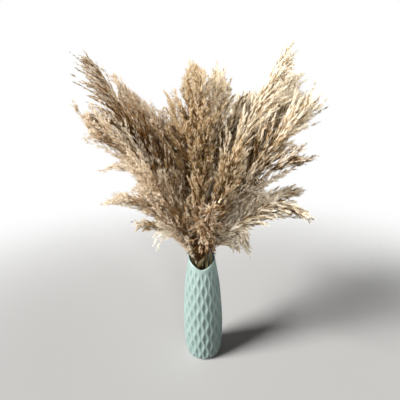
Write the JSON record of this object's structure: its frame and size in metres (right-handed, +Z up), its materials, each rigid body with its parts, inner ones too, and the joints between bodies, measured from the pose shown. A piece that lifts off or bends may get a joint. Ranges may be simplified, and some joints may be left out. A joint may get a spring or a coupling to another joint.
{
  "type": "bundle of pampas grass in a vase",
  "caption": "Dried pampas grass reeds with feathery arching plumes, standing in a tall ceramic vase with a slanted mouth and staggered lozenge dimples.",
  "frame": {"origin": "middle of the vase's foot, on the surface that it stands on", "axes": "+Z up, +X to the right and +Y to the back as seen from the low front of the slanted mouth"},
  "size_m": [0.4346, 0.2864, 0.6265],
  "materials": {
    "vase_ceramic": "matte glaze, pale mint green",
    "reed_stalk": "dry, slightly glossy straw",
    "plume_tan": "soft dry spikelets, greyish tan",
    "plume_brown": "soft dry spikelets, warm brown",
    "plume_cream": "soft dry spikelets, pale cream",
    "dry_leaf": "dry papery leaf"
  },
  "bodies": {
    "root": {"vase": "vase_ceramic", "stem_01": "reed_stalk", "plume_01": "plume_tan", "stem_02": "reed_stalk", "plume_02": "plume_tan", "stem_03": "reed_stalk", "plume_03": "plume_tan", "stem_04": "reed_stalk", "plume_04": "plume_tan", "stem_05": "reed_stalk", "plume_05": "plume_tan", "stem_06": "reed_stalk", "plume_06": "plume_tan", "stem_07": "reed_stalk", "plume_07": "plume_brown", "stem_08": "reed_stalk", "plume_08": "plume_brown", "stem_09": "reed_stalk", "plume_09": "plume_brown", "stem_10": "reed_stalk", "plume_10": "plume_brown", "stem_11": "reed_stalk", "plume_11": "plume_cream", "stem_12": "reed_stalk", "plume_12": "plume_cream", "stem_13": "reed_stalk", "plume_13": "plume_cream", "stem_14": "reed_stalk", "plume_14": "plume_cream", "stem_15": "reed_stalk", "plume_15": "plume_cream", "stem_16": "reed_stalk", "plume_16": "plume_cream", "stem_17": "reed_stalk", "plume_17": "plume_brown", "stem_18": "reed_stalk", "plume_18": "plume_brown", "stem_19": "reed_stalk", "plume_19": "plume_brown", "stem_20": "reed_stalk", "plume_20": "plume_tan", "stem_21": "reed_stalk", "plume_21": "plume_tan", "leaf_01": "dry_leaf", "leaf_02": "dry_leaf"}
  },
  "joints": []
}
